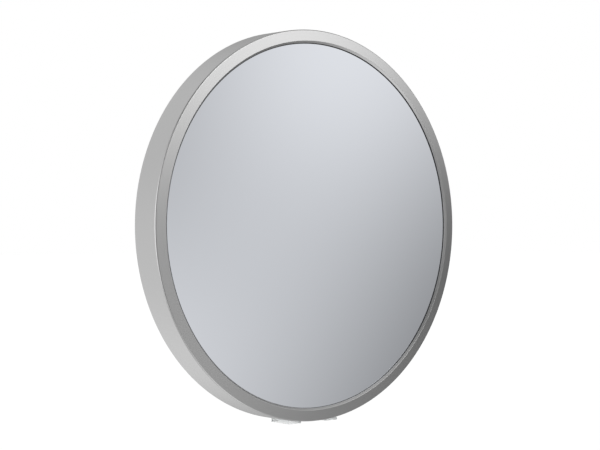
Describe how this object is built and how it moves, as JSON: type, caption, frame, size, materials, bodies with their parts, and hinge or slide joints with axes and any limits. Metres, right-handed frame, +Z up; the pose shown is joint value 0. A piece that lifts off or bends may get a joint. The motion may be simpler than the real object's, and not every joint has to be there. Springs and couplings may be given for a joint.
{
  "type": "countertop mirror",
  "caption": "Round free-standing counter mirror with a deep satin aluminium rim, a recessed pane and a folding easel leg in its back.",
  "frame": {"origin": "on the counter, under the middle of the mirror's width and depth, with the mirror upright and the leg folded", "axes": "+Z up; the mirror looks along -Y; +X is to the right of someone looking into it"},
  "size_m": [0.3, 0.027, 0.301],
  "materials": {
    "satin_aluminium": "satin anodised, fine turned grain",
    "black_gasket": "matt",
    "silvered_glass": "polished",
    "safety_film_grey": "smooth",
    "silicone_block": "soft matt",
    "foam": "closed-cell, matt",
    "zinc_steel": "bright zinc plate",
    "spring_steel": "oiled spring steel",
    "cover_plastic": "fine moulded texture",
    "nylon": "natural nylon",
    "clear_rubber": "clear, slightly frosted",
    "leg_steel": "silver powder coat",
    "black_rubber": "matt moulded"
  },
  "bodies": {
    "mirror": {"frame_ring": "satin_aluminium", "glass_gasket": "black_gasket", "mirror_glass": "silvered_glass", "safety_film": "safety_film_grey", "setting_blocks": "silicone_block", "foam_pad": "foam", "backing_plate": "zinc_steel", "retaining_ring": "spring_steel", "cover_standoffs": "zinc_steel", "back_cover": "cover_plastic", "cover_screws": "zinc_steel", "hinge_bracket": "zinc_steel", "bracket_rivets": "zinc_steel", "hinge_pin": "zinc_steel", "pin_clip": "spring_steel", "friction_washers": "nylon", "rim_feet": "clear_rubber"},
    "leg": {"easel_leg": "leg_steel", "leg_barrel": "zinc_steel", "leg_bushes": "nylon", "leg_rivets": "zinc_steel", "leg_shoe": "black_rubber"}
  },
  "joints": [
    {"name": "leg_hinge", "type": "hinge", "parent": "mirror", "child": "leg", "pos_m": [0, 0.00785, 0.196], "axis": [1, 0, 0], "range_deg": [0, 32]}
  ]
}
